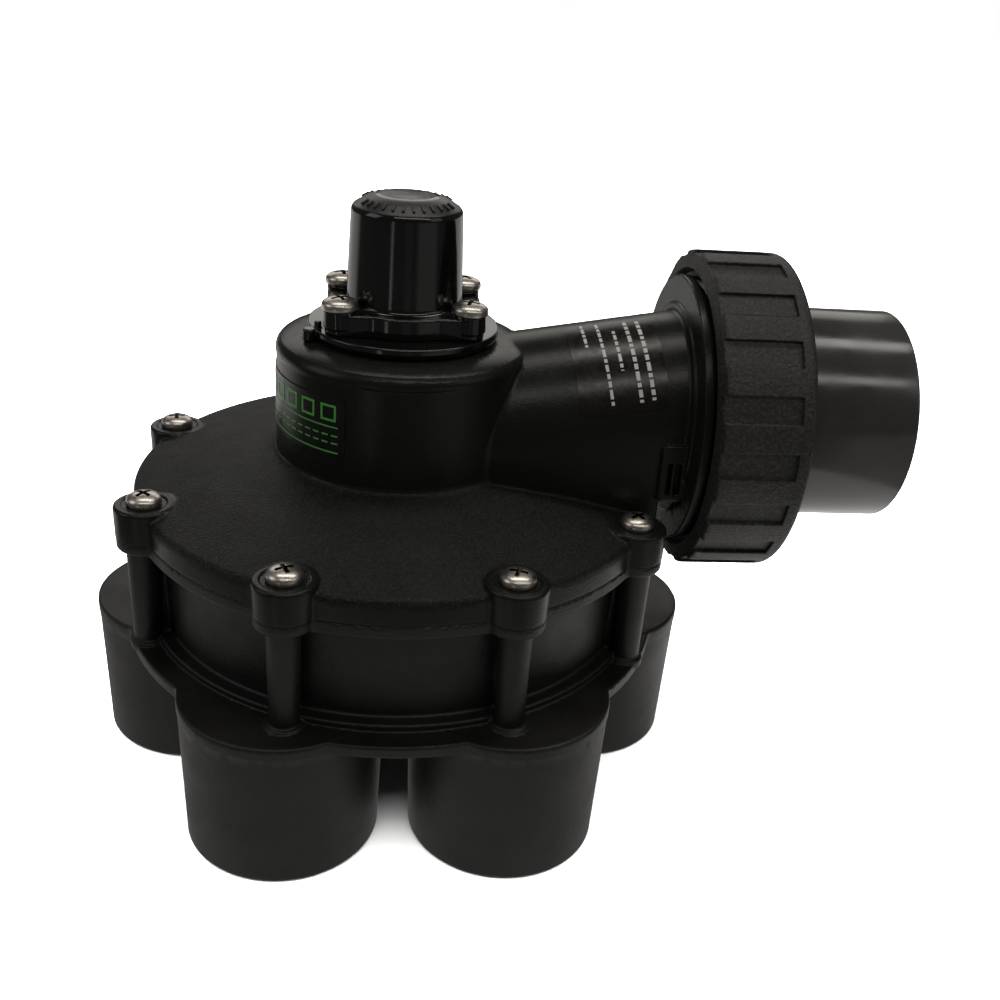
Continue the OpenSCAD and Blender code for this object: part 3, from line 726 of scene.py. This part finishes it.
bm = bmesh.new()
for tick in (t for t in range(-66, 67, 12) if t):
    for half_turn in (0, 180):
        turn = Matrix.Rotation(math.radians(tick + half_turn - 90), 4, "Z")
        lean = Matrix.Translation((12.2, 0, 161.05)) @ Matrix.Rotation(math.radians(31.1), 4, "Y")
        bmesh.ops.create_cube(bm, size=1.0, matrix=turn @ lean @ Matrix.Diagonal((2.3, 0.75, 0.9, 1)))
bmesh.ops.bevel(bm, geom=bm.edges[:], offset=0.16, segments=2, profile=0.5, affect="EDGES")
ticks = finish_mesh("cam_cover_ticks", bm, 60)
set_zone(ticks, np.ones(len(ticks.data.vertices)))
place(ticks, "housing", "gloss_black", "gloss_black")

seat, _ = carve("cover_seat_body", seat_field, (-30, -27, 124.5), (27, 27, 130.5),
                0.3, 0.0)
place(seat, "housing", "gloss_black", "gloss_black", "cover_seat_ring")

# ---------------------------------------------------------------- turned pieces
bm = bmesh.new()
lathe(bm, rounded([(96.1, 20.4, 0.5), (96.1, 36.2, 0.6), (100.1, 36.2, 0.5), (100.1, 29.4, 0.8),
                   (106.6, 29.4, 0.2), (106.6, TAIL_R, 0.3),
                   (TAIL_END, TAIL_R, 0.9), (TAIL_END, 25.1, 0.3),
                   (TAIL_END - 1, TAIL_BORE_R, 0.3), (108.4, TAIL_BORE_R, 0.6), (108.4, 20.4, 0.4)]),
      200, along_x)
place(finish_mesh("union_tailpiece_body", bm), "tail", "tail_black", "tail_black", "union_tailpiece")

lid_turns = (20, 62, 38, 8, 52, 25, 70, 33)
lid_places = []
for k, angle in enumerate([*LUG_ANGLES, *[360 - a for a in reversed(LUG_ANGLES)]]):
    a = math.radians(angle)
    lid_places.append((LUG_R * math.cos(a), LUG_R * math.sin(a), 83.95, lid_turns[k]))
place(screw_set("lid_screw_set", screw_mesh("lid_screw", 4.65, 3.3, 26), lid_places),
      "housing", "stainless", "stainless", "lid_screws")
cover_places = [(x, y, 134.75, t) for (x, y), t in zip(COVER_SCREWS, (30, 12, 75, 48))]
place(screw_set("cover_screw_set", screw_mesh("cover_screw", 4.95, 3.2, 17.6), cover_places),
      "housing", "stainless", "stainless", "cam_cover_screws")

# ---------------------------------------------------------------- return spring
bm = bmesh.new()
SPRING_LOW, SPRING_HIGH, COIL_R, WIRE_R, TURNS = 14.1, 50.8, 9.6, 0.98, 7.0
rings, sides, steps = [], 14, 420
for k in range(steps + 1):
    t = k / steps
    turn = TURNS * 2 * math.pi * t
    ease = t + 0.055 * math.sin(4 * math.pi * t)
    height = SPRING_LOW + WIRE_R + (SPRING_HIGH - SPRING_LOW - 2 * WIRE_R) * ease
    out = Vector((math.cos(turn), math.sin(turn), 0))
    centre = out * COIL_R + Vector((0, 0, height))
    rings.append([bm.verts.new(centre + WIRE_R * (out * math.cos(s) + Vector((0, 0, 1)) * math.sin(s)))
                  for s in (2 * math.pi * j / sides for j in range(sides))])
for a, b in zip(rings, rings[1:]):
    for j in range(sides):
        bm.faces.new([a[j], a[(j + 1) % sides], b[(j + 1) % sides], b[j]])
bm.faces.new(rings[0][::-1])
bm.faces.new(rings[-1])
spring = place(finish_mesh("return_spring_coil", bm), "housing", "spring_steel", "stainless",
               "return_spring")
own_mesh(spring)


# ---------------------------------------------------------------- labels
def collar_point(u, v, lift):
    """u along the circumference and v up, both in mm from the label's middle."""
    r = COLLAR_R - 0.0068 * (107.6 + v - 91.3) + lift
    a = math.radians(202) + u / COLLAR_R
    return (r * math.cos(a), r * math.sin(a), 107.6 + v)


def neck_point(u, v, lift):
    """u along the neck and v down its near side from the crest."""
    r, a = NECK_R + lift, v / NECK_R
    along, above = 14 + u, r * math.cos(a)
    return (NECK_MID[0] + along * math.cos(TILT) - above * math.sin(TILT), -r * math.sin(a),
            NECK_MID[1] + along * math.sin(TILT) + above * math.cos(TILT))


def patch(bm, point, low, high, low_lift, high_lift, corner=0.0, across=1.0):
    """A thin closed sheet on a curved surface, between two corners in (u, v), with rounded corners."""
    (u0, v0), (u1, v1) = low, high
    nu, nv = max(2, round((u1 - u0) / across)), max(2, round((v1 - v0) / across))
    if corner:
        nv = max(nv, 12)
    levels = []
    for lift in (low_lift, high_lift):
        rows = []
        for j in range(nv + 1):
            v = v0 + (v1 - v0) * (0.5 - 0.5 * math.cos(math.pi * j / nv) if corner else j / nv)
            edge = max(0.0, corner - min(v - v0, v1 - v))
            inset = corner - math.sqrt(max(0.0, corner ** 2 - edge ** 2)) if corner else 0.0
            rows.append([bm.verts.new(point(u0 + inset + (u1 - u0 - 2 * inset) * i / nu, v, lift))
                         for i in range(nu + 1)])
        levels.append(rows)
    low_rows, high_rows = levels
    for j in range(nv):
        for i in range(nu):
            for rows in (low_rows, high_rows):
                bm.faces.new([rows[j][i], rows[j][i + 1], rows[j + 1][i + 1], rows[j + 1][i]])
    rim = ([(j, 0) for j in range(nv + 1)] + [(nv, i) for i in range(1, nu + 1)]
           + [(j, nu) for j in range(nv - 1, -1, -1)] + [(0, i) for i in range(nu - 1, 0, -1)])
    for (j0, i0), (j1, i1) in zip(rim, rim[1:] + rim[:1]):
        bm.faces.new([low_rows[j0][i0], low_rows[j1][i1], high_rows[j1][i1], high_rows[j0][i0]])


bm = bmesh.new()
patch(bm, collar_point, (-26, -8.2), (26, 8.2), -0.06, 0.2, corner=1.2)
place(finish_mesh("collar_label_film", bm, 50), "housing", "label_green", "label_dark", "collar_label")
bm = bmesh.new()
patch(bm, neck_point, (-0.4, 0.3), (24.0, 32.6), -0.06, 0.2, corner=2.4)
place(finish_mesh("neck_label_film", bm, 50), "housing", "label_dark", "label_dark", "neck_label")

# Plain marks only: rules and blocks on the collar, broken lines on the neck.
bm = bmesh.new()
for low, high in (((-24, 0.2), (24, 0.55)), ((-24, -6.9), (24, -6.5))):
    patch(bm, collar_point, low, high, 0.21, 0.27)
for u in range(-21, 25, 7):
    for low, high in (((u - 2.4, 1.9), (u + 2.4, 2.5)), ((u - 2.4, 5.8), (u + 2.4, 6.4)),
                      ((u - 2.4, 2.5), (u - 1.8, 5.8)), ((u + 1.8, 2.5), (u + 2.4, 5.8))):
        patch(bm, collar_point, low, high, 0.21, 0.27)
for u in range(-23, 23, 3):
    patch(bm, collar_point, (u, -4.3), (u + 1.9, -3.9), 0.21, 0.27)
    patch(bm, collar_point, (u, -2.2), (u + 1.9, -1.8), 0.21, 0.27)
place(finish_mesh("collar_label_marks", bm, 50), "housing", "print_green", "label_dark")
bm = bmesh.new()
# Each line's place along the neck, start and end round it, and height.
LINES = ((4.2, 0.8, 12, 0.85), (8.4, 1.2, 30.2, 0.85), (12.4, 6.5, 21, 0.85), (16.2, 2.2, 30.4, 1.05),
         (19.6, 2.6, 30.2, 1.05))
for row, (u, start, end, tall) in enumerate(LINES):
    v, k = start, row
    while v < end:
        length = (1.7, 2.6, 1.2, 2.1, 1.5)[k % 5]
        patch(bm, neck_point, (u - tall / 2, v), (u + tall / 2, min(v + length, end)), 0.21, 0.27)
        v += length + 0.65
        k += 1
place(finish_mesh("neck_label_marks", bm, 50), "housing", "print_white", "label_dark")

# ---------------------------------------------------------------- CAD nodes that stay
for names, material in (
    (("body_o_ring", "cover_o_ring", "cam_upper_o_ring", "cam_lower_o_ring", "disc_seal",
      "union_o_ring"), "seal_rubber"),
    (("cam_track_pins", "cam_screw", "stem", "disc_clamp_washer", "disc_clamp_nut"), "stainless"),
    (("cam", "stem_bushing", "thrust_washer"), "bearing_plastic"),
    (("rotor_disc",), "inner_black"),
):
    for name in names:
        ob = dress(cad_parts[name], material)

# ---------------------------------------------------------------- stage, light and camera
scene = bpy.context.scene


def stage_disc(name, radius, top):
    bm = bmesh.new()
    lathe(bm, [(top, 0.0), (top, radius), (top - 3, radius), (top - 3, 0.0)], 64, along_z)
    ob = finish_mesh(name, bm)
    mat, tree, bsdf = tree_of(name + "_white")
    bsdf.inputs["Roughness"].default_value = 0.9
    bsdf.inputs["Specular IOR Level"].default_value = 0.1
    ob.data.materials.append(mat)
    ob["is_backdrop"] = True
    return ob, tree, bsdf, tree.nodes.new("ShaderNodeTexCoord").outputs["Object"]


# The floor is what the camera sees. The sheet, under it, is what the object reflects near its foot.
floor, tree, bsdf, coords = stage_disc("studio_floor", 6000.0, -0.6)
tree.links.new(blend_colours(tree, noise(tree, coords, 3, 2), (0.86, 0.86, 0.86), (0.89, 0.89, 0.89)),
               bsdf.inputs["Base Color"])
floor.visible_glossy = floor.visible_diffuse = floor.visible_shadow = False
sheet, tree, bsdf, coords = stage_disc("studio_sheet", 205.0, -4.0)
bsdf.inputs["Base Color"].default_value = (0.2, 0.2, 0.2, 1)
across = tree.nodes.new("ShaderNodeSeparateXYZ")
tree.links.new(coords, across.inputs[0])
bsdf.inputs["Emission Color"].default_value = (1.0, 0.985, 0.95, 1)
# The sheet's glow is 0.32 near the middle and rises to 0.9 past x = 85 to 150 mm, under the tail:
# painted shadow of the object on the table, and painted light on the table beyond it.
tree.links.new(span(tree, across.outputs["X"], 0.085, 0.15, 0.32, 0.9), bsdf.inputs["Emission Strength"])
sheet.visible_camera = sheet.visible_shadow = False

world = bpy.data.worlds.new("studio")
scene.world = world
world.use_nodes = True
wt = world.node_tree
wt.nodes.clear()


def arithmetic(operation, a, b):
    n = wt.nodes.new("ShaderNodeMath")
    n.operation = operation
    for socket, v in zip(n.inputs, (a, b)):
        if isinstance(v, (int, float)):
            socket.default_value = v
        else:
            wt.links.new(v, socket)
    return n.outputs[0]


# Dim room: pale below, darker above, with a few soft patches low around the object.
# Azimuth 0 is in front and 90 to the right: (azimuth, half width, brightness).
sky = wt.nodes.new("ShaderNodeSeparateXYZ")
wt.links.new(wt.nodes.new("ShaderNodeTexCoord").outputs["Generated"], sky.inputs[0])
heading = arithmetic("ARCTAN2", sky.outputs["X"], arithmetic("MULTIPLY", sky.outputs["Y"], -1.0))
room = 0.09
PATCHES = ((-29, 2.5, 0.9), (42, 21, 0.22), (135, 26, 0.75), (-138, 28, 0.7), (4, 7, 0.06))
for azimuth, half, bright_by in PATCHES:
    away = arithmetic("ABSOLUTE", arithmetic("SUBTRACT", heading, math.radians(azimuth)), 0.0)
    patch_by = span(wt, away, math.radians(half * 1.15), math.radians(half * 0.75), 0, bright_by)
    room = arithmetic("ADD", room, patch_by)
low_room = span(wt, sky.outputs["Z"], 0.0, -0.12, 0, 1)
room = arithmetic("MULTIPLY", room, low_room)
room = arithmetic("ADD", room, span(wt, sky.outputs["Z"], -0.1, 0.1, 0, 0.07))
output = wt.nodes.new("ShaderNodeOutputWorld")
path = wt.nodes.new("ShaderNodeLightPath")
dim, bright = (wt.nodes.new("ShaderNodeBackground") for _ in range(2))
mix = wt.nodes.new("ShaderNodeMixShader")
wt.links.new(room, dim.inputs["Strength"])
dim.inputs["Color"].default_value = (1.0, 0.985, 0.96, 1)
bright.inputs["Color"].default_value = (1, 1, 1, 1)
wt.links.new(path.outputs["Is Camera Ray"], mix.inputs[0])
wt.links.new(dim.outputs[0], mix.inputs[1])
wt.links.new(bright.outputs[0], mix.inputs[2])
wt.links.new(mix.outputs[0], output.inputs[0])


def softbox(name, azimuth, elevation, distance, width, height, power, colour=(1, 1, 1), along_row=False):
    """An area light that faces the object. Azimuth 0 is in front, 90 to the right. along_row turns its
    long side to run with the neck."""
    a, e = math.radians(azimuth), math.radians(elevation)
    light = bpy.data.lights.new(name, "AREA")
    light.shape, light.size, light.size_y = "RECTANGLE", width, height
    light.energy, light.color = power, colour
    ob = bpy.data.objects.new(name, light)
    centre = Vector((0.03, 0, 0.08))
    back = Vector((math.sin(a) * math.cos(e), -math.cos(a) * math.cos(e), math.sin(e)))
    level = Vector((1, 0, 0)) - back * back.x if along_row else back.cross(Vector((0, 0, -1)))
    level.normalize()
    facing = Matrix((level, back.cross(level), back)).transposed()
    ob.matrix_world = Matrix.Translation(centre + back * distance) @ facing.to_4x4()
    scene.collection.objects.link(ob)


WARM = (1.0, 0.97, 0.91)
softbox("ceiling_strip", 145, 79, 1.1, 1.2, 0.2, 3.8, WARM, along_row=True)
softbox("front_strip", 11, 55, 1.1, 1.2, 0.13, 2.2, WARM, along_row=True)
softbox("right_panel", 62, 30, 1.1, 0.5, 0.6, 0.6)
softbox("left_panel", -80, 30, 1.1, 0.5, 0.6, 1.1)
softbox("back_panel", 180, 27, 1.2, 1.4, 0.5, 2.4, WARM)

# A wide sun that only the floor takes, so that it is white with a soft shadow under the object.
sun = bpy.data.objects.new("floor_sun", bpy.data.lights.new("floor_sun", "SUN"))
sun.data.energy, sun.data.angle = 14.0, math.radians(85)
scene.collection.objects.link(sun)
only_floor = bpy.data.collections.new("lit_floor")
only_floor.objects.link(floor)
sun.light_linking.receiver_collection = only_floor

az, el, roll = math.radians(-7.04), math.radians(25.16), math.radians(4.26)
back = Vector((math.sin(az) * math.cos(el), -math.cos(az) * math.cos(el), math.sin(el)))
right = (-back).cross(Vector((0, 0, 1))).normalized()
up = right.cross(-back)
camera = bpy.data.objects.new("camera", bpy.data.cameras.new("camera"))
camera.data.sensor_width = 36.0
camera.data.lens = 36.0 * 1.16581
camera.data.clip_start, camera.data.clip_end = 0.01, 20
axes = (math.cos(roll) * right + math.sin(roll) * up,
        -math.sin(roll) * right + math.cos(roll) * up, back,
        Vector((0.03042, 0, 0.07404)) + back * 0.34839)
camera.matrix_world = Matrix([[axes[c][r] for c in range(4)] for r in range(3)] + [[0, 0, 0, 1]])
scene.collection.objects.link(camera)
scene.camera = camera
scene.view_settings.view_transform = "Standard"
scene.view_settings.look = "None"

low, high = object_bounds()
